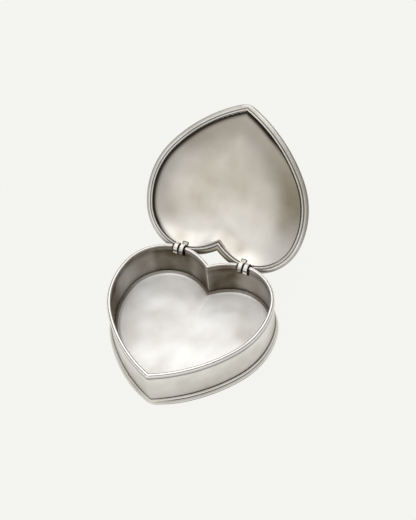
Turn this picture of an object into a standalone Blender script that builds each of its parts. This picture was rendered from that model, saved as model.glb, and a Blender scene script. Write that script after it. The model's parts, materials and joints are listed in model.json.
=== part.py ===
"""A heart-shaped pewter keepsake box, with its lid standing open on two small hinges.

Lengths are in metres and +Z is up. The origin is on the flat underside, in the
middle of the box. The heart's point is towards -Y, its cleft and hinges towards +Y.

The lid is drawn closed, resting on the rim, and an empty on the hinge pins turns
it open, so that every size of the lid is read straight from the body it closes.
"""
import math

import bmesh
import bpy

MM = 0.001

# Fits between the pieces
SEAT_GAP = 0.3 * MM
PIN_CLEARANCE = 0.1 * MM
NOTCH_CLEARANCE = 0.4 * MM
OVERRUN = 3.0 * MM

# How outlines are welded into solids and where shading keeps a line
WELD_DISTANCE = 0.01 * MM
SHARP_ANGLE = math.radians(35)

# The heart, at the outer face of the wall: four arcs a side, each tangent to the next
CLEFT_RADIUS_SHARE = 1.45
CLEFT_START = math.radians(112)
LOBE_RADIUS = 29.9 * MM
LOBE_X_SHARE = 0.732
LOBE_Y_SHARE = 0.669
LOBE_END = math.radians(14.7)
SHOULDER_RADIUS = 51.3 * MM
SHOULDER_END = math.radians(-33.7)
SIDE_RADIUS = 101.8 * MM
CLEFT_STEPS = 4
LOBE_STEPS = 16
SHOULDER_STEPS = 9
SIDE_STEPS = 6

# The body, from the underside up
BODY_HEIGHT = 30.2 * MM
WALL_THICKNESS = 1.8 * MM
FLOOR_THICKNESS = 3.0 * MM
COVE_RADIUS = 1.5 * MM
COVE_LAND = 0.3 * MM
COVE_STEPS = 4

# The cast foot that the wall stands on
FOOT_HEIGHT = 5.2 * MM
FOOT_REACH = 1.9 * MM
FOOT_EDGE_HEIGHT = 1.5 * MM
FOOT_CHAMFER = 0.4 * MM
FOOT_BEAD_HEIGHT = 1.0 * MM
FOOT_BEAD_REACH = 0.8 * MM

# The cast rim on top of the wall
RIM_HEIGHT = 3.4 * MM
RIM_REACH = 0.8 * MM
RIM_CHAMFER = 0.35 * MM

# The hinges: two knuckles side by side on one pin, soldered into a notch in the rim
HINGE_DROP = 2.55 * MM
HINGE_INSET = 0.45 * MM
HINGE_SPACING = 44.9 * MM
HINGE_PAIR_SHIFT = -1.0 * MM
KNUCKLE_RADIUS = 3.7 * MM
KNUCKLE_WIDTH = 3.1 * MM
KNUCKLE_GAP = 0.8 * MM
LEAF_THICKNESS = 1.3 * MM
LEAF_LENGTH = 5.3 * MM
PIN_RADIUS = 1.0 * MM
BARREL_SIDES = 32
PIN_SIDES = 24

# The lid: a cast rim round a domed panel
LID_OPEN_ANGLE = math.radians(130.0)
LID_REACH = 2.5 * MM
LID_LIP_INSET = 2.1 * MM
RIDGE_INSET = 0.5 * MM
RIDGE_WIDTH = 0.6 * MM
GROOVE_DEPTH = 0.5 * MM
BRIM_RISE = 0.7 * MM
BRIM_CHAMFER = 0.35 * MM
BRIM_EDGE_HEIGHT = 1.0 * MM
BRIM_LEDGE = 0.6 * MM
LID_RIM_HEIGHT = 3.9 * MM
PANEL_THICKNESS = 1.5 * MM
DOME_RISE = 5.0 * MM
DOME_CENTRE_SHARE = 0.5
DOME_FLAT_SHARE = 0.1
DOME_STEEPNESS = 5.0
DOME_STEPS = 8
DOME_STEP_GROWTH = 1.6

# Worked out from the sizes above
LOBE_X = LOBE_X_SHARE * LOBE_RADIUS
LOBE_Y = LOBE_Y_SHARE * LOBE_RADIUS
CLEFT_RADIUS = CLEFT_RADIUS_SHARE * LOBE_RADIUS
DOME_CENTRE_Y = DOME_CENTRE_SHARE * LOBE_Y
SEAT_LEVEL = BODY_HEIGHT + SEAT_GAP
HINGE_Y = LOBE_Y + LOBE_RADIUS - HINGE_INSET
HINGE_Z = BODY_HEIGHT - HINGE_DROP
PANEL_LEVEL = HINGE_Z + KNUCKLE_RADIUS + SEAT_GAP
HINGE_LENGTH = 2 * KNUCKLE_WIDTH + KNUCKLE_GAP
KNUCKLE_OFFSET = 0.5 * (KNUCKLE_WIDTH + KNUCKLE_GAP)
SIDES = {"left": -1, "right": 1}

CAST_PEWTER = ((0.62, 0.60, 0.56), 0.30)
SHEET_PEWTER = ((0.66, 0.64, 0.61), 0.24)
HINGE_PEWTER = ((0.70, 0.68, 0.65), 0.20)
PIN_STEEL = ((0.35, 0.34, 0.33), 0.35)


def start_collections():
    """Empties the scene and adds a collection for the box and one for the cutters."""
    for old in list(bpy.data.objects):
        bpy.data.objects.remove(old, do_unlink=True)
    made = []
    for name in ("heart_box", "cutters"):
        collection = bpy.data.collections.new(name)
        bpy.context.scene.collection.children.link(collection)
        made.append(collection)
    return made


def link(obj, collection, finish=None):
    """Puts an object in a collection and gives it a metal of its own."""
    for holder in obj.users_collection:
        holder.objects.unlink(obj)
    collection.objects.link(obj)
    if finish is None:
        return obj
    colour, roughness = finish
    metal = bpy.data.materials.new(obj.name + "_metal")
    metal.use_nodes = True
    shader = metal.node_tree.nodes["Principled BSDF"]
    shader.inputs["Base Color"].default_value = (*colour, 1.0)
    shader.inputs["Metallic"].default_value = 1.0
    shader.inputs["Roughness"].default_value = roughness
    obj.data.materials.clear()
    obj.data.materials.append(metal)
    return obj


def arc(centre, radius, start, end, steps):
    """Points along an arc, both ends included."""
    angles = [start + (end - start) * step / steps for step in range(steps + 1)]
    return [(centre[0] + radius * math.cos(a), centre[1] + radius * math.sin(a)) for a in angles]


def quarter(start, end, steps, across_first):
    """Points of a quarter ellipse that leaves start either across the section or up it."""
    points = []
    for step in range(steps + 1):
        turn = 0.5 * math.pi * step / steps
        early, late = math.sin(turn), 1.0 - math.cos(turn)
        across, up = (early, late) if across_first else (late, early)
        points.append((start[0] + across * (end[0] - start[0]), start[1] + up * (end[1] - start[1])))
    return points


def heart(reach):
    """The heart's outline, anticlockwise, at a distance outside the wall's outer face."""
    lobe = (LOBE_X, LOBE_Y)
    cleft = arc(lobe, LOBE_RADIUS - CLEFT_RADIUS, CLEFT_START, CLEFT_START, 1)[0]
    shoulder = arc(lobe, LOBE_RADIUS - SHOULDER_RADIUS, LOBE_END, LOBE_END, 1)[0]
    side = arc(shoulder, SHOULDER_RADIUS - SIDE_RADIUS, SHOULDER_END, SHOULDER_END, 1)[0]
    cleft_angle = math.acos(-cleft[0] / (CLEFT_RADIUS + reach))
    point_angle = -math.acos(-side[0] / (SIDE_RADIUS + reach))
    right = arc(cleft, CLEFT_RADIUS + reach, cleft_angle, CLEFT_START, CLEFT_STEPS)
    right += arc(lobe, LOBE_RADIUS + reach, CLEFT_START, LOBE_END, LOBE_STEPS)[1:]
    right += arc(shoulder, SHOULDER_RADIUS + reach, LOBE_END, SHOULDER_END, SHOULDER_STEPS)[1:]
    right += arc(side, SIDE_RADIUS + reach, SHOULDER_END, point_angle, SIDE_STEPS)[1:]
    left = [(-x, y) for x, y in right[1:-1]]
    return left + right[::-1]


def poly_curve(name, outlines):
    """A flat curve object made of closed outlines."""
    data = bpy.data.curves.new(name, "CURVE")
    data.dimensions = "2D"
    for outline in outlines:
        spline = data.splines.new("POLY")
        spline.points.add(len(outline) - 1)
        for point, (x, y) in zip(spline.points, outline):
            point.co = (x, y, 0.0, 1.0)
        spline.use_cyclic_u = True
    obj = bpy.data.objects.new(name, data)
    bpy.context.scene.collection.objects.link(obj)
    return obj


def to_mesh(curve, name):
    """Turns a curve object into a closed mesh object at the same place."""
    bpy.context.view_layer.update()
    graph = bpy.context.evaluated_depsgraph_get()
    mesh = bpy.data.meshes.new_from_object(curve.evaluated_get(graph))
    cage = bmesh.new()
    cage.from_mesh(mesh)
    bmesh.ops.remove_doubles(cage, verts=cage.verts, dist=WELD_DISTANCE)
    bmesh.ops.recalc_face_normals(cage, faces=cage.faces)
    cage.to_mesh(mesh)
    cage.free()
    solid = bpy.data.objects.new(name, mesh)
    bpy.context.scene.collection.objects.link(solid)
    solid.matrix_world = curve.matrix_world
    bpy.data.objects.remove(curve, do_unlink=True)
    return solid


def moulding(name, section):
    """A ring that carries one section, as (reach, height) points, right round the heart."""
    path = poly_curve(name + "_path", [heart(0.0)])
    profile = poly_curve(name + "_section", [[(-reach, height) for reach, height in section]])
    path.data.fill_mode = "NONE"
    path.data.bevel_mode = "OBJECT"
    path.data.bevel_object = profile
    ring = to_mesh(path, name)
    bpy.data.objects.remove(profile, do_unlink=True)
    return ring


def lofted_plate(name, outlines):
    """A plate lofted through outlines given as (points, height), closed flat at both ends."""
    cage = bmesh.new()
    loops = [[cage.verts.new((x, y, height)) for x, y in points] for points, height in outlines]
    for lower, upper in zip(loops, loops[1:]):
        for i in range(len(lower)):
            cage.faces.new((lower[i - 1], lower[i], upper[i], upper[i - 1]))
    for end in (loops[0], loops[-1]):
        cage.faces.new(end)
    bmesh.ops.recalc_face_normals(cage, faces=cage.faces)
    mesh = bpy.data.meshes.new(name)
    cage.to_mesh(mesh)
    cage.free()
    plate = bpy.data.objects.new(name, mesh)
    bpy.context.scene.collection.objects.link(plate)
    return plate


def shade(obj):
    """Smooth shading that keeps the sharp lines of the mouldings."""
    obj.data.shade_smooth()
    obj.data.set_sharp_from_angle(angle=SHARP_ANGLE)
    return obj


def cylinder(name, radius, length, centre, sides):
    """A round bar along X."""
    bpy.ops.mesh.primitive_cylinder_add(
        vertices=sides, radius=radius, depth=length, location=centre, rotation=(0.0, math.pi / 2, 0.0))
    bar = bpy.context.active_object
    bar.name = name
    return bar


def box(name, low, high):
    """A block between two corners, with its size applied."""
    size = [b - a for a, b in zip(low, high)]
    bpy.ops.mesh.primitive_cube_add(size=1.0, location=[0.5 * (a + b) for a, b in zip(low, high)])
    block = bpy.context.active_object
    block.name = name
    block.scale = size
    bpy.ops.object.transform_apply(location=False, rotation=False, scale=True)
    return block


def as_cutter(obj, cutters):
    """Hides a block from the render and shows it as a wire."""
    link(obj, cutters)
    obj.hide_render = True
    obj.display_type = "WIRE"
    return obj


def cut(obj, cutter, operation="DIFFERENCE"):
    """Takes one cutter out of a piece, or keeps only what lies inside it."""
    boolean = obj.modifiers.new("cut_" + cutter.name, "BOOLEAN")
    boolean.operation = operation
    boolean.solver = "EXACT"
    boolean.object = cutter


def hinge_x(side):
    """Where the middle of a hinge lies along its pin."""
    return HINGE_PAIR_SHIFT + side * 0.5 * HINGE_SPACING


def floor_plate():
    """The bottom of the box, with a small cove running up to the wall all round."""
    edge = -(WALL_THICKNESS + SEAT_GAP)
    cove_top = (edge - COVE_LAND, FLOOR_THICKNESS + COVE_RADIUS)
    cove_foot = (cove_top[0] - COVE_RADIUS, FLOOR_THICKNESS)
    section = [(edge, 0.0), (edge, cove_top[1])]
    section += quarter(cove_top, cove_foot, COVE_STEPS, across_first=False)
    return shade(lofted_plate("floor_plate", [(heart(reach), height) for reach, height in section]))


def foot_moulding():
    """The foot: a plain edge, a hollow above it and a bead under the wall."""
    bead_foot = FOOT_HEIGHT - FOOT_BEAD_HEIGHT
    section = [(-WALL_THICKNESS, 0.0), (-WALL_THICKNESS, FOOT_HEIGHT)]
    section += quarter((0.0, FOOT_HEIGHT), (FOOT_BEAD_REACH, FOOT_HEIGHT - 0.5 * FOOT_BEAD_HEIGHT), 2, True)
    section += quarter((0.5 * FOOT_BEAD_REACH, bead_foot), (FOOT_REACH, FOOT_EDGE_HEIGHT), 4, False)
    section += [(FOOT_REACH, FOOT_CHAMFER), (FOOT_REACH - FOOT_CHAMFER, 0.0)]
    return shade(moulding("foot_moulding", section))


def wall_band():
    """The upright strip between the foot and the rim."""
    low = FOOT_HEIGHT + SEAT_GAP
    high = BODY_HEIGHT - RIM_HEIGHT - SEAT_GAP
    return shade(moulding("wall_band", [(-WALL_THICKNESS, low), (-WALL_THICKNESS, high), (0.0, high), (0.0, low)]))


def rim_moulding(name):
    """The rail on top of the wall, which stands a little proud of it outside."""
    low = BODY_HEIGHT - RIM_HEIGHT
    high = BODY_HEIGHT
    inner, outer, edge = -WALL_THICKNESS, RIM_REACH, RIM_CHAMFER
    section = [(inner, low), (inner, high - edge), (inner + edge, high), (outer - edge, high)]
    section += [(outer, high - edge), (outer, low + edge), (outer - edge, low)]
    return shade(moulding(name, section))


def lid_moulding():
    """The lid's rim, closed: a ridge that rests on the body, a groove and a wide brim."""
    top = SEAT_LEVEL + LID_RIM_HEIGHT
    brim = SEAT_LEVEL + BRIM_RISE
    edge_low = brim + BRIM_CHAMFER
    edge_high = edge_low + BRIM_EDGE_HEIGHT
    section = [(-LID_LIP_INSET, top), (-LID_LIP_INSET, PANEL_LEVEL)]
    section += [(-RIDGE_INSET - RIDGE_WIDTH, SEAT_LEVEL), (-RIDGE_INSET, SEAT_LEVEL)]
    section += [(0.0, SEAT_LEVEL + GROOVE_DEPTH), (LID_REACH - BRIM_CHAMFER, brim)]
    section += [(LID_REACH, edge_low), (LID_REACH, edge_high), (LID_REACH - BRIM_CHAMFER, edge_high + BRIM_CHAMFER)]
    section += quarter((LID_REACH - BRIM_LEDGE, edge_high + BRIM_CHAMFER), (0.0, top), 4, False)
    return shade(moulding("lid_moulding", section))


def lid_panel():
    """The domed top, closed: it rises steeply from the lid's rim and levels out inside it."""
    edge = heart(-(LID_LIP_INSET + SEAT_GAP))
    under = []
    for step in range(DOME_STEPS + 1):
        size = 1.0 - (1.0 - DOME_FLAT_SHARE) * (step / DOME_STEPS) ** DOME_STEP_GROWTH
        points = [(size * x, DOME_CENTRE_Y + size * (y - DOME_CENTRE_Y)) for x, y in edge]
        under.append((points, PANEL_LEVEL + DOME_RISE * (1.0 - size ** DOME_STEEPNESS)))
    over = [(points, height + PANEL_THICKNESS) for points, height in under]
    return shade(lofted_plate("lid_panel", under[::-1] + over))


def knuckle(name, x, with_leaf):
    """A ring on the pin, with or without a leaf that runs in under the closed lid."""
    bore = arc((0.0, 0.0), PIN_RADIUS + PIN_CLEARANCE, 0.0, 2 * math.pi, PIN_SIDES)[1:]
    ring = arc((0.0, 0.0), KNUCKLE_RADIUS, 0.5 * math.pi, -1.5 * math.pi, BARREL_SIDES)[:-1]
    if with_leaf:
        leaf_under = KNUCKLE_RADIUS - LEAF_THICKNESS
        meeting = math.pi - math.asin(leaf_under / KNUCKLE_RADIUS)
        ring = arc((0.0, 0.0), KNUCKLE_RADIUS, 0.5 * math.pi, meeting - 2 * math.pi, BARREL_SIDES)
        ring += [(-LEAF_LENGTH, leaf_under), (-LEAF_LENGTH, KNUCKLE_RADIUS)]
    flat = poly_curve(name + "_outline", [ring, bore])
    flat.data.fill_mode = "BOTH"
    flat.data.extrude = 0.5 * KNUCKLE_WIDTH
    flat.rotation_euler = (math.pi / 2, 0.0, math.pi / 2)
    flat.location = (x, HINGE_Y, HINGE_Z)
    return shade(to_mesh(flat, name))


def hang_on(parent, obj):
    """Parents a piece to the lid's turning empty, keeping where it was drawn."""
    bpy.context.view_layer.update()
    obj.parent = parent
    obj.matrix_parent_inverse = parent.matrix_world.inverted()


def main():
    """Builds every piece, cuts the hinge notches and swings the lid open."""
    parts, cutters = start_collections()
    floor, foot, wall = floor_plate(), foot_moulding(), wall_band()
    rim, cleft_rim = rim_moulding("rim_moulding"), rim_moulding("rim_cleft")
    brim, panel = lid_moulding(), lid_panel()
    for obj, finish in ((floor, SHEET_PEWTER), (foot, CAST_PEWTER), (wall, SHEET_PEWTER), (rim, CAST_PEWTER),
                        (cleft_rim, CAST_PEWTER), (brim, CAST_PEWTER), (panel, SHEET_PEWTER)):
        link(obj, parts, finish)

    # The notches part the rim in two, so the short run round the cleft is a piece of its own
    span = box("cleft_span", (hinge_x(-1), LOBE_Y + 0.5 * LOBE_RADIUS, 0.0),
               (hinge_x(1), LOBE_Y + 2 * LOBE_RADIUS, 2 * BODY_HEIGHT))
    as_cutter(span, cutters)
    cut(rim, span)
    cut(cleft_rim, span, "INTERSECT")

    turn = bpy.data.objects.new("lid_turn", None)
    turn.location = (0.0, HINGE_Y, HINGE_Z)
    bpy.context.scene.collection.objects.link(turn)
    lid_pieces = [brim, panel]
    notch_length = HINGE_LENGTH + 2 * NOTCH_CLEARANCE
    for label, side in SIDES.items():
        x = hinge_x(side)
        body_x, lid_x = x + side * KNUCKLE_OFFSET, x - side * KNUCKLE_OFFSET
        link(knuckle("body_knuckle_" + label, body_x, with_leaf=False), parts, HINGE_PEWTER)
        lid_knuckle = link(knuckle("lid_knuckle_" + label, lid_x, with_leaf=True), parts, HINGE_PEWTER)
        pin = cylinder("hinge_pin_" + label, PIN_RADIUS, HINGE_LENGTH, (x, HINGE_Y, HINGE_Z), PIN_SIDES)
        link(shade(pin), parts, PIN_STEEL)

        centre = (x, HINGE_Y, HINGE_Z)
        notch = cylinder("body_notch_" + label, KNUCKLE_RADIUS + SEAT_GAP, notch_length, centre, BARREL_SIDES)
        as_cutter(notch, cutters)
        for piece in (wall, rim, cleft_rim):
            cut(piece, notch)
        hollow = cylinder("lid_notch_" + label, KNUCKLE_RADIUS + SEAT_GAP, notch_length, centre, BARREL_SIDES)
        half_slot = 0.5 * KNUCKLE_WIDTH + NOTCH_CLEARANCE
        slot = box("leaf_slot_" + label, (lid_x - half_slot, HINGE_Y - LEAF_LENGTH, SEAT_LEVEL - OVERRUN),
                   (lid_x + half_slot, HINGE_Y, HINGE_Z + KNUCKLE_RADIUS + NOTCH_CLEARANCE))
        for cutter in (hollow, slot):
            cut(brim, as_cutter(cutter, cutters))
        lid_pieces += [lid_knuckle, hollow, slot]

    for piece in lid_pieces:
        hang_on(turn, piece)
    turn.rotation_euler.x = -LID_OPEN_ANGLE


main()
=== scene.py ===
# %% [markdown]
# # A heart-shaped pewter box, dressed for the camera
#
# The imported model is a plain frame: right in size and in how it moves, but with simple
# surfaces. In this lesson each piece of the box is modelled again with the finer shape that
# a pewterer gives it, and then finished in worn, softly polished pewter.

# %% Load the frame
import json
import math

import bmesh
import bpy
from mathutils import Matrix, Vector

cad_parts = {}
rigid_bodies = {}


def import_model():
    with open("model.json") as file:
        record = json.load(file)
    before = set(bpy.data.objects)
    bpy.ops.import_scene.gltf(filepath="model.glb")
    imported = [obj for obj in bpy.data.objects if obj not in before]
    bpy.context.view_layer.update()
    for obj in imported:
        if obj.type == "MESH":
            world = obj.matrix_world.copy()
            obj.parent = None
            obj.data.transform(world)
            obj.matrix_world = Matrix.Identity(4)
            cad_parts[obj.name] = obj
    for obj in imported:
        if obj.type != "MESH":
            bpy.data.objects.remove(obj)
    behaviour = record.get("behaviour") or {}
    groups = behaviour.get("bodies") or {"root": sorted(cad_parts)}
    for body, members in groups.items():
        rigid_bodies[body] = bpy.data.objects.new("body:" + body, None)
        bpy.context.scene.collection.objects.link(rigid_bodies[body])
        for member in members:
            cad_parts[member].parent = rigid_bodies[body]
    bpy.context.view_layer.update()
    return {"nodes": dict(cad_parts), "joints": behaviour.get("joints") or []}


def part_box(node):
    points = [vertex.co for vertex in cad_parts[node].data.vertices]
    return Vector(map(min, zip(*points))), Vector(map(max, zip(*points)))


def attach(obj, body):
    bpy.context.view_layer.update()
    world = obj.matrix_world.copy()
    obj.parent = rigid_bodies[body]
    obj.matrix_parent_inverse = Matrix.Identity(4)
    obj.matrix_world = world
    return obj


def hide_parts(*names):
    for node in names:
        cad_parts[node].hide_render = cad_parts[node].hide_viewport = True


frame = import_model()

MM = 0.001
print("frame loaded:", len(frame["nodes"]), "nodes")

# %% [markdown]
# ## Where things are
#
# The box is a heart of four arcs a side: cleft, lobe, shoulder and side, each running
# smoothly into the next. Their centres and radii come from how the real box was measured, and
# every piece is drawn by its reach outside the wall and its height above the table. The lid is
# drawn closed and turned open at the end, as the real one is.

# %% Measures shared by the pieces
RIM_TOP = 30.2 * MM
LOBE_RADIUS = 29.9 * MM
LOBE_OUT = 0.732 * LOBE_RADIUS
LOBE_BACK = 0.669 * LOBE_RADIUS
LOBE_END = math.radians(14.7)
CLEFT_START = math.radians(112)
CLEFT_RADIUS = 1.45 * LOBE_RADIUS
SHOULDER_RADIUS = 51.3 * MM
SHOULDER_END = math.radians(-33.7)
SIDE_RADIUS = 101.8 * MM


def along(centre, radius, angle):
    """The point at an angle on a circle."""
    return centre + radius * Vector((math.cos(angle), math.sin(angle), 0.0))


LOBE = Vector((LOBE_OUT, LOBE_BACK, 0.0))
CLEFT = along(LOBE, LOBE_RADIUS - CLEFT_RADIUS, CLEFT_START)
SHOULDER = along(LOBE, LOBE_RADIUS - SHOULDER_RADIUS, LOBE_END)
SIDE = along(SHOULDER, SHOULDER_RADIUS - SIDE_RADIUS, SHOULDER_END)


def reach_of(co):
    """How far a point stands outside the wall."""
    flat = Vector((abs(co.x), co.y, 0.0))
    angle = math.atan2(flat.y - SHOULDER.y, flat.x - SHOULDER.x)
    if angle > LOBE_END:
        if math.atan2(flat.y - LOBE.y, flat.x - LOBE.x) > CLEFT_START:
            return (flat - CLEFT).length - CLEFT_RADIUS
        return (flat - LOBE).length - LOBE_RADIUS
    if angle < SHOULDER_END:
        return (flat - SIDE).length - SIDE_RADIUS
    return (flat - SHOULDER).length - SHOULDER_RADIUS


hinge = frame["joints"][0]
HINGE = Vector(hinge["pos_m"])
OPENING = math.radians(hinge["range_deg"][1])
print("hinge line at", [round(c / MM, 2) for c in HINGE], "mm")
print("lid opened by", round(math.degrees(OPENING)), "degrees")

# %% [markdown]
# ## A tool for mouldings
#
# A pewterer draws a strip of cast moulding and bends it round the box. The same is done here:
# the section is traced point by point at the widest part of the heart, then spun about each
# arc's own centre, first towards the heart's point and then towards its cleft. One cut down
# the middle makes the mitres, and Mirror gives the other half. Spin was chosen over a curve
# with a bevel because it keeps every arc exact and puts the edges square to the moulding.
#
# The last spins at each end are made in two parts, which keeps every loop clear of the cut. A
# loop that lay almost on it would leave slivers, and the bevel on the mitre would fold them.

# %% Trace, spin, cut and mirror
LOBE_STEPS = 36
SHOULDER_STEPS = 24
SHOULDER_BACK_STEPS = 8
SIDE_SPINS = ((44, math.radians(31.7)), (1, math.radians(3.3)))
CLEFT_SPINS = ((8, math.radians(13)), (7, math.radians(41)))
WELD = 0.002 * MM
SAME = 0.01 * MM
ON_LINE = 0.001 * MM


def start_clean():
    """Leaves edit mode and deselects everything."""
    if bpy.context.object and bpy.context.object.mode != "OBJECT":
        bpy.ops.object.mode_set(mode="OBJECT")
    bpy.ops.object.select_all(action="DESELECT")


def edit(piece, mode="VERT"):
    """Opens one piece in edit mode with nothing selected."""
    start_clean()
    bpy.context.view_layer.objects.active = piece
    piece.select_set(True)
    bpy.ops.object.mode_set(mode="EDIT")
    bpy.ops.mesh.select_mode(type=mode)
    bpy.ops.mesh.select_all(action="DESELECT")


def pick(piece, test):
    """Selects the vertices that pass a test on their place."""
    cage = bmesh.from_edit_mesh(piece.data)
    for vert in cage.verts:
        vert.select_set(test(vert.co))
    cage.select_flush_mode()
    cage.select_flush(True)
    bmesh.update_edit_mesh(piece.data)


def pick_edges(piece, test):
    """Selects the edges that pass a test."""
    cage = bmesh.from_edit_mesh(piece.data)
    for side in cage.edges:
        side.select_set(test(side))
    bmesh.update_edit_mesh(piece.data)


def trace(name, section, closed=True):
    """Traces a section, as (reach, height) points, at the widest part of the heart."""
    start_clean()
    widest = SHOULDER + Vector((SHOULDER_RADIUS, 0.0, 0.0))
    first = widest + Vector((section[0][0], 0.0, section[0][1]))
    bpy.ops.mesh.primitive_plane_add(size=MM, location=(0.0, 0.0, 0.0))
    piece = bpy.context.object
    piece.name = piece.data.name = name
    edit(piece)
    bpy.ops.mesh.select_all(action="SELECT")
    bpy.ops.mesh.merge(type="CENTER")
    bpy.ops.transform.translate(value=first)
    for before, after in zip(section, section[1:]):
        move = (after[0] - before[0], 0.0, after[1] - before[1])
        bpy.ops.mesh.extrude_vertices_move(TRANSFORM_OT_translate={"value": move})
    if closed:
        bpy.ops.mesh.select_all(action="SELECT")
        bpy.ops.mesh.edge_face_add()
        bpy.ops.mesh.delete(type="ONLY_FACE")
    return piece


def spin(steps, angle, centre):
    """Spins what is selected about an upright line through an arc's centre."""
    bpy.ops.mesh.spin(steps=steps, angle=angle, center=centre, axis=(0, 0, 1))


def spin_round(piece):
    """Spins the traced section about each arc's centre and cuts it down the middle."""
    on_start = lambda co: abs(co.y - SHOULDER.y) < ON_LINE and co.x > SHOULDER.x
    pick(piece, on_start)
    spin(SHOULDER_STEPS, -SHOULDER_END, SHOULDER)
    for steps, turn in SIDE_SPINS:
        spin(steps, turn, SIDE)
    pick(piece, on_start)
    spin(SHOULDER_BACK_STEPS, -LOBE_END, SHOULDER)
    spin(LOBE_STEPS, LOBE_END - CLEFT_START, LOBE)
    for steps, turn in CLEFT_SPINS:
        spin(steps, -turn, CLEFT)
    bpy.ops.mesh.select_all(action="SELECT")
    bpy.ops.mesh.remove_doubles(threshold=WELD)
    bpy.ops.mesh.bisect(plane_co=(0, 0, 0), plane_no=(1, 0, 0), clear_inner=True, threshold=WELD)
    start_clean()


def use(piece, kind, **settings):
    """Adds a modifier, sets it and applies it."""
    start_clean()
    bpy.context.view_layer.objects.active = piece
    piece.select_set(True)
    modifier = piece.modifiers.new(kind.lower(), kind)
    for setting, value in settings.items():
        setattr(modifier, setting, value)
    bpy.ops.object.modifier_apply(modifier=modifier.name)


def face_outwards(piece):
    """Turns all of a piece's faces outwards."""
    edit(piece)
    bpy.ops.mesh.select_all(action="SELECT")
    bpy.ops.mesh.normals_make_consistent(inside=False)
    start_clean()


def ease_mitres(piece, width):
    """Takes the sharpness off the two mitres, at the cleft and at the point."""
    edit(piece, "EDGE")
    pick_edges(piece, lambda side: all(abs(vert.co.x) < WELD for vert in side.verts))
    bpy.ops.mesh.bevel(offset=width, segments=3, affect="EDGES")
    start_clean()


def moulding(name, section, eased=0.35 * MM):
    """A closed moulding right round the heart."""
    piece = trace(name, section)
    spin_round(piece)
    use(piece, "MIRROR", merge_threshold=WELD)
    face_outwards(piece)
    ease_mitres(piece, eased)
    return piece


def report(piece):
    """Prints how large a finished piece is."""
    size = [round(side / MM, 1) for side in piece.dimensions]
    print(piece.name, size, "mm,", len(piece.data.polygons), "faces")


print("tools ready for a heart", round(2 * (SHOULDER.x + SHOULDER_RADIUS) / MM, 1), "mm wide")

# %% [markdown]
# ## The foot
#
# The foot is one cast ring: a plain edge on the table, a hollow above it and a small round
# bead that the wall stands on. Its corners catch a thin line of light, so after the spin a
# Bevel modifier takes the sharpness off every hard corner.
#
# Years of handling have worn the heart's point round. Proportional editing draws it in, once
# over a long stretch and once close to the tip. Everything but the outside is hidden first,
# so that the inside keeps its fit.

# %% Model the foot
SOFT_CORNER = math.radians(48)
SMOOTH_BELOW = math.radians(40)
OUTSIDE = 0.3 * MM
TIP_HALF = 0.6 * MM
TIP_DEPTH = 0.35 * MM


def soften(piece, width, segments=2):
    """Rounds the hard corners and shades the piece smooth."""
    use(piece, "BEVEL", width=width, segments=segments, limit_method="ANGLE",
        angle_limit=SOFT_CORNER, use_clamp_overlap=False)
    start_clean()
    piece.select_set(True)
    bpy.context.view_layer.objects.active = piece
    bpy.ops.object.shade_smooth_by_angle(angle=SMOOTH_BELOW)


def blunt(piece, pull, width, falloff="SHARP"):
    """Draws the outside of a moulding in at the heart's point, less and less to each side."""
    tip = min(vert.co.y for vert in piece.data.vertices)
    edit(piece)
    pick(piece, lambda co: co.y > 0 or reach_of(co) < OUTSIDE)
    bpy.ops.mesh.hide()
    pick(piece, lambda co: abs(co.x) < TIP_HALF and co.y < tip + TIP_DEPTH)
    bpy.ops.transform.translate(value=(0, pull, 0), use_proportional_edit=True,
                                proportional_edit_falloff=falloff, proportional_size=width)
    bpy.ops.mesh.reveal(select=False)
    start_clean()


def in_mm(*points):
    """Turns points written in millimetres into metres."""
    return [(reach * MM, height * MM) for reach, height in points]


foot = moulding("foot_ring", in_mm(
    (-1.8, 0.02), (1.6, 0.02),  # underside
    (1.83, 0.12), (1.9, 0.35), (1.9, 0.75), (1.9, 1.6), (1.82, 1.82),  # plain edge
    (1.6, 2.1), (1.28, 2.55), (1.02, 3.0), (0.92, 3.3), (0.95, 3.42),  # hollow
    (1.1, 3.52), (1.2, 3.7), (1.24, 4.0), (1.22, 4.4), (1.12, 4.72),  # bead
    (0.92, 4.97), (0.65, 5.12), (0.35, 5.18), (0.05, 5.2), (-1.8, 5.2)))  # top, under the wall
blunt(foot, pull=0.8 * MM, width=24 * MM, falloff="SMOOTH")
blunt(foot, pull=0.7 * MM, width=4 * MM)
soften(foot, width=0.12 * MM)
report(foot)

# %% [markdown]
# ## The wall
#
# The wall is a plain strip of sheet bent round the foot. It stops a hair short of the foot
# and of the rim, where the real one is soldered. The extra points up its sides don't change
# its shape: they give the later tarnish and painted shade somewhere to fade.

# %% Model the wall
wall = moulding("wall_strip", in_mm(
    (-1.8, 5.28), (-1.8, 8.0), (-1.8, 14.0), (-1.8, 22.5), (-1.8, 26.7),  # inside
    (0.0, 26.7), (0.0, 26.2), (0.0, 24.0), (0.0, 22.5), (0.0, 19.0),  # outside, upper half
    (0.0, 14.0), (0.0, 8.0), (0.0, 6.2), (0.0, 5.55), (0.0, 5.28)))  # outside, lower half
report(wall)

# %% [markdown]
# ## The rim
#
# The rim is a heavier rail on top of the wall: a rounded inner edge, a softly crowned top
# that catches the light, a fine groove with a bead beside it, and a plain band outside. It is
# notched for the hinges in the same way as the real one, with a round cutter, and the notches
# part it in two. The notches are cut before the corners are softened, so that the cut edges
# are rounded too.

# %% Model the rim and cut the hinge notches
KNUCKLE_RADIUS = 3.7 * MM
KNUCKLE_WIDTH = 3.1 * MM
KNUCKLE_GAP = 0.8 * MM
HINGE_HALF = KNUCKLE_WIDTH + 0.5 * KNUCKLE_GAP
HINGE_SIDES = {"left": (-23.45 * MM, -1), "right": (21.45 * MM, 1)}
PLAY = 0.3 * MM
NOTCH_ROOM = 0.4 * MM
BAR_SIDES = 64


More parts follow.
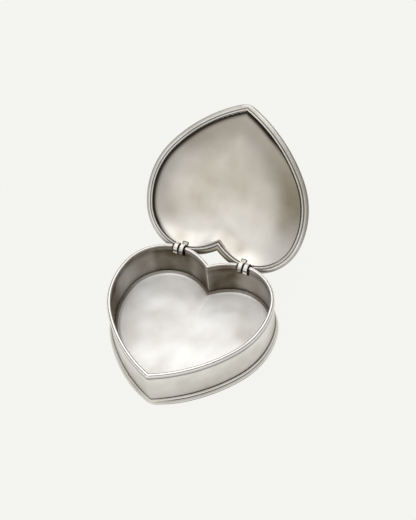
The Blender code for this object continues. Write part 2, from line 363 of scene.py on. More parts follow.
def bar(name, radius, length, x, sides=BAR_SIDES):
    """A round bar along the hinge line."""
    start_clean()
    bpy.ops.mesh.primitive_cylinder_add(
        vertices=sides, radius=radius, depth=length, location=(x, HINGE.y, HINGE.z),
        rotation=(0, math.pi / 2, 0))
    piece = bpy.context.object
    piece.name = piece.data.name = name
    bpy.ops.object.transform_apply(location=True, rotation=True, scale=True)
    return piece


def notch(piece):
    """Cuts the round hinge notches."""
    for x, _ in HINGE_SIDES.values():
        cutter = bar("notch", KNUCKLE_RADIUS + PLAY, 2 * (HINGE_HALF + NOTCH_ROOM), x)
        use(piece, "BOOLEAN", operation="DIFFERENCE", solver="EXACT", object=cutter)
        bpy.data.objects.remove(cutter, do_unlink=True)


rail = moulding("rim_rail", in_mm(
    (-1.8, 26.8), (-1.8, 29.65), (-1.74, 29.88), (-1.6, 30.05), (-1.4, 30.14),  # inner edge
    (-1.15, 30.18), (-0.85, 30.2), (-0.5, 30.18), (-0.26, 30.12),  # crowned top
    (-0.1, 30.0), (-0.02, 29.84), (0.06, 29.72), (0.2, 29.7), (0.34, 29.82),  # groove
    (0.5, 29.86), (0.66, 29.8), (0.77, 29.64), (0.8, 29.4),  # bead
    (0.8, 27.3), (0.72, 27.02), (0.5, 26.85), (0.3, 26.8)), eased=0.55 * MM)  # plain band
notch(rail)
notch(wall)
soften(rail, width=0.1 * MM)
soften(wall, width=0.1 * MM)
edit(rail)
bpy.ops.mesh.separate(type="LOOSE")
start_clean()
runs = [o for o in bpy.data.objects if o.name.startswith("rim_rail")]
runs.sort(key=lambda o: len(o.data.vertices))
rail_cleft, rail = runs
rail.name = rail.data.name = "rim_rail"
rail_cleft.name = rail_cleft.data.name = "rim_rail_cleft"
for piece in (rail, rail_cleft, wall):
    report(piece)

# %% [markdown]
# ## The floor
#
# The floor is a plate dropped inside the foot, dished a little, with a soft cove of solder
# drawn up to the wall and a small bright bead round its edge. Only these are spun. The two
# open loops are then filled, one for the underside of the plate and one for its top. The top
# is first drawn in ring by ring, because its later colour needs points to sit on.

# %% Model the floor
FLOOR_TOP = 3.0 * MM
FLOOR_MIDDLE = (0.0, 4.0 * MM, FLOOR_TOP)
FLOOR_RINGS = 8
COVE = 1.5 * MM
COVE_START = -2.4 * MM
COVE_LIFT = 1.35 * MM
COVE_SWEEP = math.radians(70)
COVE_STEPS = 5


def cove_points():
    """The cove, as an arc from the wall down to the edge of the floor."""
    points = []
    for step in range(COVE_STEPS + 1):
        turn = COVE_SWEEP * step / COVE_STEPS
        reach = COVE_START - COVE * (1 - math.cos(turn))
        height = FLOOR_TOP + COVE * (1 - math.sin(turn)) + COVE_LIFT
        points.append((reach, height))
    return points


def fill_loop(piece, height, rings=0):
    """Fills the open loop that lies at one height, after drawing rings in from it."""
    edit(piece, "EDGE")
    pick_edges(piece, lambda side: side.is_boundary
               and all(abs(vert.co.z - height) < SAME for vert in side.verts))
    for left in range(rings, 0, -1):
        share = left / (left + 1)
        bpy.ops.mesh.extrude_edges_move()
        bpy.ops.transform.resize(value=(share, share, 1), center_override=FLOOR_MIDDLE)
    bpy.ops.mesh.edge_face_add()
    start_clean()


floor = trace("floor_dish", in_mm((-2.1, 0.0), (-2.1, 5.6)) + cove_points() + in_mm(
    (-3.45, 4.6), (-3.6, 4.8), (-3.85, 4.92), (-4.1, 4.92), (-4.35, 4.8), (-4.52, 4.6),  # bead
    (-4.9, 4.42), (-6.0, 4.2), (-8.0, 3.84), (-10.0, 3.52), (-12.0, 3.26),  # dish
    (-14.0, 3.07), (-15.5, 3.0)), closed=False)
spin_round(floor)
use(floor, "MIRROR", merge_threshold=WELD)
fill_loop(floor, 0.0)
fill_loop(floor, FLOOR_TOP, FLOOR_RINGS)
face_outwards(floor)
soften(floor, width=0.1 * MM)
report(floor)

# %% [markdown]
# ## The lid's rim
#
# Seen from inside, as it stands open, the lid's rim has a thin bright ridge that lands on the
# body, a brown groove outside it and a broad flat brim. Its outside steps in to the panel.

# %% Model the lid's rim
def above_rim(*points):
    """Points in millimetres, with heights measured from the body's rim."""
    return [(reach * MM, RIM_TOP + height * MM) for reach, height in points]


lid_rim = moulding("lid_rim", above_rim(
    (-2.1, 4.2), (-2.1, 1.45), (-2.04, 1.0), (-1.92, 0.66), (-1.72, 0.42),  # inner face
    (-1.45, 0.31), (-1.1, 0.3), (-0.85, 0.35), (-0.66, 0.5),  # ridge
    (-0.52, 0.7), (-0.32, 0.8), (-0.1, 0.74),  # groove
    (0.3, 0.66), (1.2, 0.74), (2.1, 0.95), (2.37, 1.12),  # brim
    (2.48, 1.4), (2.48, 2.3), (2.35, 2.6), (2.1, 2.7),  # the brim's edge
    (1.85, 2.75), (1.75, 3.0), (1.4, 3.5), (0.9, 3.9), (0.3, 4.12), (-0.3, 4.2)))  # outer step
blunt(lid_rim, pull=0.8 * MM, width=5 * MM)
notch(lid_rim)
soften(lid_rim, width=0.1 * MM)
report(lid_rim)

# %% [markdown]
# ## The lid's panel
#
# The panel is one sheet, pressed into a low dome. The heart's edge is drawn as a wire and
# extruded inwards again and again, smaller and higher each time, with the rings closest
# together at the edge, where the sheet bends most. Smoothing the points that stand clear of
# the edge takes out the ridges, and some more beside the cleft leaves the soft fold there.
# Solidify then gives the sheet its thickness.

# %% Model the lid's panel
PANEL = HINGE.z + KNUCKLE_RADIUS + PLAY
PANEL_REACH = -2.13 * MM
PANEL_THICKNESS = 1.5 * MM
DOME_RISE = 5.0 * MM
DOME_STEEPNESS = 4.0
DOME_CENTRE = Vector((0.0, 0.5 * LOBE.y, 0.0))
DOME_RINGS = 26
DOME_DEPTH = 0.985
DOME_CROWDING = 1.7
CLEAR_OF_EDGE = 0.3 * MM
FOLD_FRONT = 12 * MM
FOLD_HALF = 17 * MM

panel = trace("lid_dome", [(PANEL_REACH, PANEL)], closed=False)
spin_round(panel)
use(panel, "MIRROR", merge_threshold=WELD)
edit(panel, "EDGE")
bpy.ops.mesh.select_all(action="SELECT")
before_size, before_rise = 1.0, 0.0
for step in range(1, DOME_RINGS + 1):
    width = 1.0 - DOME_DEPTH * (step / DOME_RINGS) ** DOME_CROWDING
    rise = DOME_RISE * (1.0 - width ** DOME_STEEPNESS)
    lift = (0, 0, rise - before_rise)
    bpy.ops.mesh.extrude_edges_move(TRANSFORM_OT_translate={"value": lift})
    shrink = width / before_size
    bpy.ops.transform.resize(value=(shrink, shrink, 1), center_override=DOME_CENTRE)
    before_size, before_rise = width, rise
bpy.ops.mesh.edge_face_add()
bpy.ops.mesh.select_all(action="SELECT")
bpy.ops.mesh.normals_make_consistent(inside=False)
clear_of_edge = lambda co: co.z > PANEL + CLEAR_OF_EDGE
for _ in range(2):
    pick(panel, clear_of_edge)
    bpy.ops.mesh.vertices_smooth(factor=0.5, repeat=12)
pick(panel, lambda co: clear_of_edge(co) and co.y > FOLD_FRONT and abs(co.x) < FOLD_HALF)
bpy.ops.mesh.vertices_smooth(factor=0.5, repeat=30)
start_clean()
dome_top = max(vert.co.z for vert in panel.data.vertices)
print("dome height", round((dome_top - PANEL) / MM, 2), "mm")
use(panel, "SOLIDIFY", thickness=PANEL_THICKNESS, offset=-1.0)
soften(panel, width=0.15 * MM)
report(panel)

# %% [markdown]
# ## The hinges
#
# Each hinge is two small rings side by side on one pin. The outer ring is soldered into the
# notch in the rim. The inner one has a leaf that runs in under the closed lid and widens to a
# rounded end. A ring starts as a round bar: the leaf is drawn out of the faces at its top,
# and then its ends are inset and bridged to open the bore.

# %% Model the rings and pins
BORE = 1.1 * MM
PIN_RADIUS = 1.0 * MM
PIN_SIDES = 32
LEAF_NECK = HINGE.y - 2.6 * MM
LEAF_END = HINGE.y - 4.9 * MM
LEAF_FLARE = 1.45
LEAF_UNDER = HINGE.z + KNUCKLE_RADIUS - 1.3 * MM
LEAF_CORNER = 0.9 * MM
LEAF_BORDER = 0.4 * MM
RING_EDGE = 0.42 * MM


def pick_faces(piece, test):
    """Selects the faces that pass a test on their centre and normal."""
    cage = bmesh.from_edit_mesh(piece.data)
    for face in cage.faces:
        face.select_set(test(face.calc_center_median(), face.normal))
    bmesh.update_edit_mesh(piece.data)


def is_leaf_corner(side):
    """Whether an edge is one of the two upright corners at the end of a leaf."""
    first, second = (vert.co for vert in side.verts)
    at_end = abs(first.y - LEAF_END) < SAME and abs(second.y - LEAF_END) < SAME
    return at_end and abs(first.x - second.x) < SAME


def is_end_face(at, normal):
    """Whether a face is one of the two round ends of a bar on the hinge line."""
    return abs(normal.x) > 0.9 and abs(at.y - HINGE.y) < MM and abs(at.z - HINGE.z) < MM


def draw_leaf(piece, x):
    """Draws a leaf out of the top of a bar, flared and rounded at its end."""
    pick_faces(piece, lambda at, normal: at.z > LEAF_UNDER and at.y < HINGE.y and abs(normal.x) < 0.5)
    bpy.ops.mesh.extrude_region_move(TRANSFORM_OT_translate={"value": (0, 0, 0)})
    bpy.ops.transform.resize(value=(1, 0, 1), center_override=(x, LEAF_NECK, HINGE.z))
    bpy.ops.mesh.extrude_region_move(TRANSFORM_OT_translate={"value": (0, LEAF_END - LEAF_NECK, 0)})
    bpy.ops.transform.resize(value=(LEAF_FLARE, 1, 1), center_override=(x, LEAF_END, HINGE.z))
    bpy.ops.mesh.select_mode(type="EDGE")
    pick_edges(piece, is_leaf_corner)
    bpy.ops.mesh.bevel(offset=LEAF_CORNER, segments=4, affect="EDGES")
    bpy.ops.mesh.select_mode(type="FACE")
    pick_faces(piece, lambda at, normal: normal.z < -0.5 and at.y < LEAF_NECK)
    bpy.ops.mesh.inset(thickness=LEAF_BORDER)


def ring(name, x, with_leaf):
    """A hinge ring, with or without its leaf."""
    piece = bar(name, KNUCKLE_RADIUS, KNUCKLE_WIDTH, x)
    edit(piece, "FACE")
    if with_leaf:
        draw_leaf(piece, x)
    pick_faces(piece, is_end_face)
    bpy.ops.mesh.inset(thickness=KNUCKLE_RADIUS - BORE)
    bpy.ops.mesh.bridge_edge_loops()
    soften(piece, RING_EDGE, segments=4)
    report(piece)
    return piece


hinge_rings = {}
for label, (x, side) in HINGE_SIDES.items():
    step = 0.5 * (KNUCKLE_WIDTH + KNUCKLE_GAP) * side
    hinge_rings["body_knuckle_" + label] = ring("body_ring_" + label, x + step, with_leaf=False)
    hinge_rings["lid_knuckle_" + label] = ring("lid_ring_" + label, x - step, with_leaf=True)
    pin = bar("pin_" + label, PIN_RADIUS, 2 * HINGE_HALF, x, PIN_SIDES)
    soften(pin, width=0.2 * MM)
    hinge_rings["hinge_pin_" + label] = pin

# %% [markdown]
# ## Tarnish and painted shade
#
# Old pewter goes dark where a cloth can't reach, in the grooves and at the seams. The same
# attribute also paints shade: on the ends and shaded sides of the hinge rings, round the
# notches, along the rail's edges, where the foot meets the table and over the tarnish in its
# hollow, in the creases round the lid's panel, on the lid's outer step and brim's edge, and
# beside the floor's bead. Each piece gets an attribute, from 0 to 1, worked out from how near
# each point is to such a place. The finish reads it later. The places are written as the
# sections are, as a reach and a height in millimetres.

# %% Mark the tarnish and the painted shade
FOOT_TOP = (0.1, 5.25)
FOOT_HOLLOW = (0.98, 3.2)
FOOT_EDGE = (1.9, 0.1)
WALL_FOOT = (0.0, 5.3)
WALL_HEAD = (0.0, 26.7)
WALL_HEAD_INSIDE = (-1.8, 26.7)
RAIL_GROOVE = (0.08, 29.7)
RAIL_FOOT = (0.7, 26.95)
RAIL_INNER_EDGE = (-1.42, 30.12)
FLOOR_CREASE = (-4.75, 4.4)
LID_GROOVE = (-0.36, 31.0)
LID_INNER_FACE = (-2.05, 31.3)
LID_STEP = (1.8, 33.0)
LID_BRIM_EDGE = (2.5, 31.5)
PANEL_CREASE = (-2.1, 31.7)
PANEL_OUTER_CREASE = (-2.1, 33.15)
NOTCH_EDGE = 0.3 * MM
NOTCH_FLOOR = HINGE.z - KNUCKLE_RADIUS - PLAY
UNDER_BODY_RING = Vector((0.0, -0.5, -0.87))
UNDER_LID_RING = Vector((0.0, 0.98, 0.17))
RING_FADE = 0.45 * MM
SHADED_FROM = 1.2 * MM
SHADED_FULL = 3.0 * MM
PANEL_INSIDE_TOP = 33.0 * MM
NOTCH_SHADE_FADE = (-0.85 * MM, -0.25 * MM)


def mark(piece, name, rule):
    """Stores a value from 0 to 1 at each point, from a rule on its place."""
    values = piece.data.attributes.new(name, "FLOAT", "POINT")
    for value, vert in zip(values.data, piece.data.vertices):
        value.value = min(1.0, max(0.0, rule(vert.co)))


def tarnish_and_shade(piece, rule):
    """Stores how dark each point is painted, for tarnish and for shade, from a rule on its place."""
    mark(piece, "tarnish_and_shade", rule)


def ramp(value, low, high):
    """0 below one value, 1 above another, and a straight rise between."""
    return min(1.0, max(0.0, (value - low) / (high - low)))


def near(co, place, spread):
    """1 at a place on the section, fading to 0 over a spread round it, in millimetres."""
    reach, height = place
    away = math.hypot(reach_of(co) - reach * MM, co.z - height * MM) / (spread * MM)
    return math.exp(-away * away)


def by_hinge(co):
    """1 at the edges of the hinge notches, where shade is painted, and 0 elsewhere."""
    edge = HINGE_HALF + NOTCH_ROOM + NOTCH_EDGE
    inside = max(edge - abs(co.x - x) for x, _ in HINGE_SIDES.values())
    return ramp(inside, 0, 0.1 * MM) * (co.y > 0)


def to_point(co):
    """1 on the left towards the lid's point, where the painted shade in its crease is darkest, and 0
    elsewhere.
    """
    return ramp(-co.y - 1.2 * co.x, -22 * MM, 14 * MM)


def foot_tarnish_and_shade(co):
    """Dark at the seam; tarnish and painted shade in the hollow, deepest on the left; painted shade where
    the edge meets the table.
    """
    hollow = 1.3 + 0.9 * ramp(-co.x, 0, 40 * MM)
    return near(co, FOOT_TOP, 0.4) + 1.2 * near(co, FOOT_EDGE, 0.6) + hollow * near(co, FOOT_HOLLOW, 0.42)


def wall_seams_and_shade(co):
    """Dark at the two seams, with painted shade round the notches, from just below their floor."""
    seams = near(co, WALL_FOOT, 0.3) + near(co, WALL_HEAD, 0.3) + 0.3 * near(co, WALL_HEAD_INSIDE, 0.5)
    return seams + by_hinge(co) * ramp(co.z - NOTCH_FLOOR, *NOTCH_SHADE_FADE)


def rail_tarnish_and_shade(co):
    """Dark in the groove, with painted shade along both edges and round the notches."""
    edges = 1.3 * near(co, RAIL_FOOT, 0.5) + 0.8 * near(co, RAIL_INNER_EDGE, 0.32)
    return 0.8 * near(co, RAIL_GROOVE, 0.2) + edges + by_hinge(co)


def lid_rim_tarnish_and_shade(co):
    """Dark in the groove; painted shade beside the panel, at the outer step and on the brim's edge."""
    inner_face = (0.5 + 1.6 * to_point(co)) * near(co, LID_INNER_FACE, 0.6)
    outside = 0.8 * near(co, LID_STEP, 0.3) + 0.5 * near(co, LID_BRIM_EDGE, 0.45)
    return near(co, LID_GROOVE, 0.28) + inner_face + outside


def panel_crease_shade(co):
    """Painted shade where the sheet meets the rim, inside and out."""
    is_inside = ramp(PANEL_INSIDE_TOP - co.z, 0, 0.4 * MM)
    crease = (0.35 + 2.2 * to_point(co)) * near(co, PANEL_CREASE, 0.9 + 0.9 * to_point(co))
    return 0.7 * near(co, PANEL_OUTER_CREASE, 0.4) + is_inside * crease


def ring_painted_shade(co, middle, under):
    """Painted shade at a ring's ends, on its shaded side and round the edge of its leaf."""
    half = 0.5 * KNUCKLE_WIDTH
    if co.y < LEAF_NECK:
        flare = 1.0 + (LEAF_FLARE - 1.0) * (LEAF_NECK - co.y) / (LEAF_NECK - LEAF_END)
        inside = min(half * flare - abs(co.x - middle), co.y - LEAF_END)
        return 1.15 - inside / RING_FADE
    ends = 1.2 - (half - abs(co.x - middle)) / RING_FADE
    return ends + ramp((co - HINGE).dot(under), SHADED_FROM, SHADED_FULL)


tarnish_and_shade(foot, foot_tarnish_and_shade)
tarnish_and_shade(wall, wall_seams_and_shade)
tarnish_and_shade(rail, rail_tarnish_and_shade)
tarnish_and_shade(rail_cleft, rail_tarnish_and_shade)
# On the floor, a little painted shade in the crease beside its bead.
tarnish_and_shade(floor, lambda co: 0.2 * near(co, FLOOR_CREASE, 0.25))
tarnish_and_shade(lid_rim, lid_rim_tarnish_and_shade)
tarnish_and_shade(panel, panel_crease_shade)
for name, piece in hinge_rings.items():
    places = [vert.co.x for vert in piece.data.vertices]
    middle = 0.5 * (max(places) + min(places))
    under = UNDER_BODY_RING if name.startswith("body") else UNDER_LID_RING
    tarnish_and_shade(piece, lambda co: ring_painted_shade(co, middle, under))
print("tarnish marked")

# %% [markdown]
# ## Painted shade
#
# A warm brown is mixed into the broad faces as painted shade: deep inside the box round the
# cleft, in the floor's cove, on the rail's inner face, across the lid's panel and low on the
# wall's outside, and thin where they catch the light. It is a second attribute, from 0 to 1.
# Broad ramps give its main drift, and a few soft round patches break that up. A patch is its
# x, its y and its spread, all in millimetres, and its strength, which is below zero where a
# highlight is painted.

# %% Mark the painted shade
LID_PATCHES = (
    (-8, 23, 5, 0.15),  # the end of the fold
    (-19, 17, 13, 0.4),  # left of the middle
    (24, -2, 10, -0.3),  # right of the middle
    (-35, -8, 10, -0.38),  # the left shoulder
    (10, -24, 9, -0.14),  # towards the point
    (4, 36, 6, 0.6),  # beside the cleft
    (14, 40, 5, 0.65),  # by the right hinge
    (38, 17, 7, 0.3),  # the right shoulder
    (-25, 43, 5, 0.4),  # by the left hinge
    (-37, 29, 9, 0.36),  # the left lobe
    (-43, 4, 8, -0.25),  # the left edge
)
FLOOR_PATCHES = (
    (-22, 12, 11, 0.52),  # left of the middle
    (-26, -6, 9, 0.28),  # the left side
    (16, 33, 8, -0.45),  # the right lobe
    (35, 16, 8, 0.2),  # the right shoulder
    (-32, 28, 9, -0.3),  # the left lobe
    (-4, 36, 6, 0.3),  # beside the cleft
    (25, 18, 6, 0.12),  # right of the middle
)


def patches(co, spots):
    """The sum of soft round patches."""
    total = 0.0
    for x, y, spread, strength in spots:
        away = math.hypot(co.x - x * MM, co.y - y * MM) / (spread * MM)
        total += strength * math.exp(-away ** 2)
    return total


def panel_shade_and_highlight(co):
    """Painted shade, deepest on the right and towards the lid's point and thin near the hinges; patches
    below zero paint highlights.
    """
    edge = math.exp((reach_of(co) + 2.4 * MM) / (7 * MM))
    low = ramp(co.y, 2 * MM, 33 * MM)
    right = 0.36 * ramp(co.x, 14 * MM, 40 * MM) * ramp(30 * MM - co.y, 0, 22 * MM)
    drift = 0.06 + 0.6 * (1 - low) + 0.12 * edge * (1 - low) + right * (1 - 0.5 * edge)
    return drift + patches(co, LID_PATCHES)


def wall_painted_shade(co):
    """Painted shade. Outside a little, more towards the bottom. Inside deep round the cleft, thin on the
    lobes, with a lighter painted patch left of the cleft.
    """
    if reach_of(co) > -MM:
        return 0.1 + 0.37 * ramp(-co.z, -24 * MM, -8 * MM)
    left = 0.48 * ramp(-co.x, 36.5 * MM, 40.5 * MM) + 0.25 * ramp(-co.x, 46 * MM, 50 * MM)
    right = 0.42 * ramp(co.x, 13 * MM, 22 * MM) + 0.1 * ramp(co.x, 28 * MM, 38 * MM)
    lobes = left * ramp(co.y, 4 * MM, 16 * MM) + right
    painted_light_patch = 0.4 * math.exp(-((co.x + 12 * MM) / (5 * MM)) ** 2)
    dark_patch = 0.1 * ramp(co.x, 0, MM) * ramp(10 * MM - co.x, 0, 5 * MM)
    # Clearing the shade at the mitre paints a thin highlight down the cleft's inner edge.
    off_mitre = ramp(abs(co.x), 0.1 * MM, 0.4 * MM)
    return (1.12 - lobes - painted_light_patch + dark_patch) * off_mitre


def rail_painted_shade(co):
    """Painted shade, only on the inner face, below its rounded edge."""
    inner_face = ramp(-reach_of(co), 1.7 * MM, 1.78 * MM)
    return 1.1 * inner_face * ramp(29.9 * MM - co.z, 0, 0.3 * MM)


def floor_painted_shade(co):
    """Painted shade: deep in the cove but less up its steep top. On the floor it is deeper on the right
    and in front along the left edge; patches below zero paint highlights.
    """
    reach = reach_of(co)
    cove = 0.85 * ramp(reach, -3.5 * MM, -3.35 * MM) - 0.5 * ramp(reach, -3.0 * MM, -2.3 * MM)
    right = 0.26 * ramp(co.x, -30 * MM, -6 * MM) + 0.1 * ramp(co.x, 26 * MM, 40 * MM)
    left = 0.4 * ramp(-co.x, 26 * MM, 40 * MM) * ramp(28 * MM - co.y, 0, 16 * MM)
    return cove + right + left + patches(co, FLOOR_PATCHES)


def lid_rim_painted_shade(co):
    """Painted shade on the brim, at the right and behind, between the hinges."""
    right = 0.5 * ramp(co.x, 15 * MM, 42 * MM) * ramp(28 * MM - co.y, 0, 16 * MM)
    behind = 0.85 * ramp(co.y, 38 * MM, 44 * MM) * ramp(34 * MM - abs(co.x), 0, 8 * MM)
    return ramp(reach_of(co), -0.9 * MM, -0.5 * MM) * (right + behind)


# The foot's inner side, under the wall, gets painted shade.
mark(foot, "shade", lambda co: ramp(-reach_of(co), 0.5 * MM, 1.0 * MM))
mark(wall, "shade", wall_painted_shade)
mark(rail, "shade", rail_painted_shade)
mark(rail_cleft, "shade", rail_painted_shade)
mark(floor, "shade", floor_painted_shade)
mark(lid_rim, "shade", lid_rim_painted_shade)
mark(panel, "shade", panel_shade_and_highlight)
print("bloom marked")

# %% [markdown]
# ## Open the lid
#
# Everything on the lid is turned back about the hinge line in one go. The turn is made in
# edit mode, so that each object stays at the origin and a pattern on it stays put.

# %% Turn the lid's pieces
lid_pieces = [lid_rim, panel, hinge_rings["lid_knuckle_left"], hinge_rings["lid_knuckle_right"]]
for piece in lid_pieces:
    edit(piece)
    bpy.ops.mesh.select_all(action="SELECT")
    bpy.ops.transform.rotate(value=OPENING, orient_axis="X", orient_type="GLOBAL", center_override=HINGE)
start_clean()
top = max(vert.co.z for vert in lid_rim.data.vertices)
plain_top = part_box("lid_moulding")[1].z
print("lid's highest point", round(top / MM, 1), "mm, in the plain model", round(plain_top / MM, 1), "mm")

# %% [markdown]
# ## A small kit for finishes
#
# Sums of sockets read better as sums. One class wraps a socket so that + and * add the Math
# nodes, and a second one holds a material and adds any other node.

# %% Wrap sockets and nodes
class Wire:
    """A socket that can be used in sums."""

    def __init__(self, finish, socket):
        self.finish = finish
        self.socket = socket

    def sum_with(self, operation, other):
        """Adds one Math node and returns its result."""
        return self.finish.node("ShaderNodeMath", {"operation": operation}, {0: self, 1: other})

    def __add__(self, other):
        return self.sum_with("ADD", other)

    def __mul__(self, other):
        return self.sum_with("MULTIPLY", other)

    __radd__, __rmul__ = __add__, __mul__


class Finish:
    """A material, and the nodes that make it."""

    def __init__(self, name, metal):
        self.material = bpy.data.materials.new(name)
        self.material.use_nodes = True
        self.tree = self.material.node_tree
        self.skin = self.tree.nodes["Principled BSDF"]
        self.skin.inputs["Metallic"].default_value = metal

    def node(self, kind, settings=None, values=None, out=0):
        """Adds a node, sets it, then joins or fills its sockets."""
        made = self.tree.nodes.new(kind)
        for setting, value in (settings or {}).items():
            setattr(made, setting, value)
        for socket, value in (values or {}).items():
            self.join(made.inputs[socket], value)
        return Wire(self, made.outputs[out])

    def join(self, socket, value):
        """Links a wire to a socket, or sets its value."""
        if isinstance(value, Wire):
            self.tree.links.new(value.socket, socket)
        else:
            socket.default_value = value

    def marked(self, name):
        """Reads a value that was stored at each point."""
        return self.node("ShaderNodeAttribute", {"attribute_name": name}, out=2)

    def mapped(self, where, **values):
        """Turns or stretches the place that a pattern is laid on."""
        return self.node("ShaderNodeMapping", {"vector_type": "POINT"}, {0: where, **values})

    def noise(self, where, size, detail=2.0, roughness=0.5):
        """Soft noise whose patches are about one size across."""
        values = {"Vector": where, "Scale": 1.0 / size, "Detail": detail, "Roughness": roughness}
        return self.node("ShaderNodeTexNoise", None, values)

    def bump(self, height, depth, **values):
        """Tilts the surface as a pattern of heights would."""
        values = {"Strength": 1.0, "Distance": depth, "Height": height, **values}
        return self.node("ShaderNodeBump", None, values)

    def mix(self, share, first, second):
        """A colour between two others."""
        return self.node("ShaderNodeMix", {"data_type": "RGBA"}, {0: share, 6: first, 7: second}, out=2)

    def spread(self, value, low, high):
        """Stretches a value so that low becomes 0 and high becomes 1."""
        return self.node("ShaderNodeMapRange", None, {0: value, 1: low, 2: high})


print("finish kit ready")

# %% [markdown]
# ## Pewter
#
# Pewter is a soft warm grey. Handling polishes it unevenly, so it is cloudy: both its colour
# and its gloss drift over patches a centimetre or two across, with a fine grain on top. Faint
# upright streaks cross the wall and the castings, and the floor and the lid's panel have none.
# Painted shade, in a warm brown, and then tarnish, which also paints shade, are laid over the
# clean metal from the two attributes. One function makes every kind, from its colours, its
# roughness and the direction of its streaks, which is turned with the open lid.

# %% Mix the pewters
BRIGHT = (0.74, 0.72, 0.68, 1)
DULL = (0.55, 0.53, 0.485, 1)
# The near-black colour below serves tarnish and painted shade, and the two browns after it are painted
# shade.
TARNISH_AND_SHADE_COLOUR = (0.045, 0.038, 0.030, 1)
PAINTED_SHADE_COLOUR = (0.164, 0.127, 0.078, 1)
LID_PAINTED_SHADE_COLOUR = (0.32, 0.275, 0.20, 1)
STREAK_SIZE = 0.9 * MM
GRAIN_SIZE = 0.8 * MM
CLOUD_LOW, CLOUD_HIGH = 0.32, 0.68
UPRIGHT_STREAKS = (1, 1, 0.06)
NO_STREAKS = (1, 1, 1)


def pewter(name, bright=BRIGHT, dull=DULL, painted_shade=PAINTED_SHADE_COLOUR, roughness=0.25, metal=1.0, cloud=16 * MM,
           streak=UPRIGHT_STREAKS, turn=0.0, streak_depth=0.0012 * MM, wave=0.02 * MM, matte=0.0):
    """A pewter finish: matte is the roughness that full painted shade adds, and wave a slow unevenness.
    """
    finish = Finish(name, metal)
    place = finish.node("ShaderNodeTexCoord", out=3)
    laid = finish.mapped(place, Rotation=(turn, 0, 0))
    clouds = finish.spread(finish.noise(place, cloud, detail=3.0), CLOUD_LOW, CLOUD_HIGH)
    streaks = finish.noise(finish.mapped(laid, Scale=streak), STREAK_SIZE, detail=3.0)
    grain = finish.noise(place, GRAIN_SIZE, detail=4.0, roughness=0.7)
    dark = finish.marked("tarnish_and_shade")
    shade = finish.marked("shade")
    clean = finish.mix(clouds * 0.6 + streaks * 0.2 + grain * 0.3, dull, bright)
    # Painted shade is mixed in first, then the tarnish, which paints shade too.
    tone = finish.mix(shade * (clouds * -0.25 + 1.0), clean, painted_shade)
    finish.join(finish.skin.inputs["Base Color"], finish.mix(dark, tone, TARNISH_AND_SHADE_COLOUR))
    rough = roughness + clouds * -0.06 + streaks * 0.06 + grain * 0.04 + dark * 0.3 + shade * matte
    finish.join(finish.skin.inputs["Roughness"], rough)
    broad = finish.bump(finish.noise(place, 0.9 * cloud, detail=1.0), wave)
    fine = finish.bump(streaks + grain * 0.5, streak_depth, Normal=broad)
    finish.join(finish.skin.inputs["Normal"], fine)
    return finish.material


finishes = {
    "cast": pewter("cast_pewter", bright=(0.825, 0.80, 0.75, 1), dull=(0.645, 0.62, 0.56, 1),
                   roughness=0.26),
    # A lighter copy of the cast pewter, which paints the light on the rail's crowned top.
    "rail": pewter("rail_pewter", bright=(0.83, 0.81, 0.78, 1), dull=(0.73, 0.71, 0.675, 1),
                   roughness=0.32),
    "sheet": pewter("sheet_pewter", bright=(0.902, 0.885, 0.847, 1), dull=(0.703, 0.68, 0.628, 1),
                    roughness=0.32, streak_depth=0.002 * MM, matte=0.2),
    # A lighter copy of the sheet pewter, which paints the light on the floor inside the box.
    "floor": pewter("floor_pewter", bright=(0.945, 0.955, 0.96, 1), dull=(0.84, 0.825, 0.785, 1),
                    roughness=0.44, metal=0.8, cloud=22 * MM, streak=NO_STREAKS, wave=0.06 * MM),
    "lid_cast": pewter("lid_cast_pewter", roughness=0.26, turn=OPENING),
    "lid_sheet": pewter("lid_sheet_pewter", bright=(0.82, 0.80, 0.76, 1), dull=(0.72, 0.695, 0.65, 1),
                        painted_shade=LID_PAINTED_SHADE_COLOUR, roughness=0.30, cloud=24 * MM, turn=OPENING,
                        streak=NO_STREAKS, wave=0.05 * MM),
    # A lighter copy of the cast pewter, which paints the light on the rings; their ends and shaded sides
    # get painted shade.
    "hinge": pewter("hinge_pewter", bright=(0.84, 0.82, 0.78, 1), dull=(0.62, 0.60, 0.555, 1),
                    roughness=0.2, cloud=5 * MM),
    # The pins are nearly black, as painted shade in the gaps between the rings.
    "pin": pewter("pin_metal", bright=(0.14, 0.13, 0.12, 1), dull=(0.09, 0.085, 0.08, 1),
                  roughness=0.4),
}
print(len(finishes), "finishes mixed")

# %% [markdown]
# ## Dress the pieces
#
# Each piece now gets its finish. It rides on the body that it turns with, and stands in for its plain
# piece.

# %% Give every piece its finish and its body
dress = [
    (foot, "cast", "cast_pewter", "box", ["foot_moulding"]),
    (wall, "sheet", "sheet_pewter", "box", ["wall_band"]),
    (rail, "rail", "cast_pewter", "box", ["rim_moulding"]),
    (rail_cleft, "rail", "cast_pewter", "box", ["rim_cleft"]),
    (floor, "floor", "sheet_pewter", "box", ["floor_plate"]),
    (lid_rim, "lid_cast", "cast_pewter", "lid", ["lid_moulding"]),
    (panel, "lid_sheet", "sheet_pewter", "lid", ["lid_panel"]),
]
for node, piece in hinge_rings.items():
    finish, slot = ("pin", "pin_metal") if node.startswith("hinge_pin") else ("hinge", "hinge_pewter")
    dress.append((piece, finish, slot, "lid" if node.startswith("lid") else "box", [node]))
for piece, finish, slot, body, replaced in dress:
    piece.data.materials.clear()
    piece.data.materials.append(finishes[finish])
    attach(piece, body)
    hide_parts(*replaced)
print(len(dress), "pieces dressed")

# %% [markdown]
# ## The studio
#
# Metal shows what is round it, so the light is made of large soft panels and a pale room. The
# table is plain and pale, and gives off most of its own light, so that it stays even. It lies
# a hair below the foot.

# %% Build the studio
TABLE_SIZE = 4.0
TABLE_DROP = 0.05 * MM
TABLE_COLOUR = (0.02, 0.02, 0.02, 1)
TABLE_GLOW = (1.0, 1.0, 0.972, 1)
TABLE_GLOW_STRENGTH = 0.885
ROOM_COLOUR = (1.0, 0.985, 0.96, 1)
ROOM_STRENGTH = 0.6

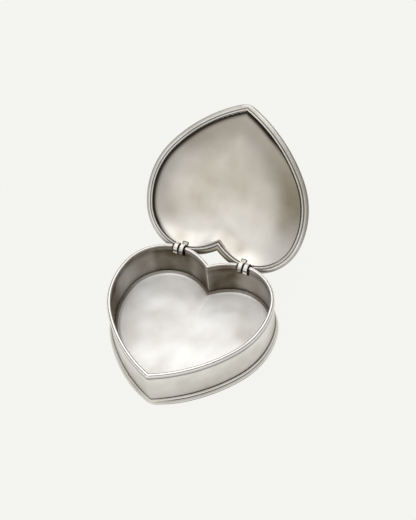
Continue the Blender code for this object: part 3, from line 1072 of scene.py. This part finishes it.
start_clean()
bpy.ops.mesh.primitive_plane_add(size=TABLE_SIZE, location=(0, 0, -TABLE_DROP))
table = bpy.context.object
table.name = "studio_floor"
pale = bpy.data.materials.new("studio_pale")
pale.use_nodes = True
skin = pale.node_tree.nodes["Principled BSDF"]
skin.inputs["Base Color"].default_value = TABLE_COLOUR
skin.inputs["Roughness"].default_value = 1.0
skin.inputs["Specular IOR Level"].default_value = 0.0
skin.inputs["Emission Color"].default_value = TABLE_GLOW
skin.inputs["Emission Strength"].default_value = TABLE_GLOW_STRENGTH
table.data.materials.append(pale)

world = bpy.data.worlds.new("studio_room")
bpy.context.scene.world = world
world.use_nodes = True
room = world.node_tree.nodes["Background"]
room.inputs["Color"].default_value = ROOM_COLOUR
room.inputs["Strength"].default_value = ROOM_STRENGTH


def soft_panel(name, place, target, width, height, radiance):
    """A rectangular soft light that faces a point."""
    light = bpy.data.lights.new(name, "AREA")
    light.shape = "RECTANGLE"
    light.size = width
    light.size_y = height
    light.energy = radiance * math.pi * width * height
    lamp = bpy.data.objects.new(name, light)
    bpy.context.scene.collection.objects.link(lamp)
    lamp.location = place
    lamp.rotation_euler = (Vector(target) - Vector(place)).to_track_quat("-Z", "Y").to_euler()
    print(name, "gives", round(light.energy, 2), "W")


soft_panel("back_ceiling", (-0.55, 0.95, 1.5), (-0.2, 0.4, 0), width=1.4, height=1.1, radiance=1.45)
soft_panel("front_ceiling", (-0.4, -0.5, 1.6), (-0.4, -0.5, 0), width=1.4, height=1.7, radiance=1.1)
soft_panel("front_panel", (-0.4, -1.4, 0.8), (0, 0, 0.05), width=0.9, height=0.6, radiance=0.75)

# %% [markdown]
# ## The camera
#
# The lens and place come from fitting the heart's outline, the foot and the open lid to the
# photograph, so the camera looks down at the box from its front right.

# %% Place the camera
CAMERA_PLACE = (0.47284, -0.80327, 1.2572)
CAMERA_RIGHT = Vector((0.91123, 0.40559, -0.07182))
CAMERA_UP = Vector((-0.27891, 0.73589, 0.61699))
CAMERA_BACK = Vector((0.3031, -0.54219, 0.78369))
LENS = 170.08
SENSOR = 36.0

optics = bpy.data.cameras.new("camera")
optics.lens = LENS
optics.sensor_width = SENSOR
camera = bpy.data.objects.new("camera", optics)
bpy.context.scene.collection.objects.link(camera)
turned = Matrix((CAMERA_RIGHT, CAMERA_UP, CAMERA_BACK)).transposed().to_4x4()
camera.matrix_world = Matrix.Translation(CAMERA_PLACE) @ turned
bpy.context.scene.camera = camera
bpy.context.scene.view_settings.view_transform = "Standard"
print("camera placed with a lens of", LENS, "mm")
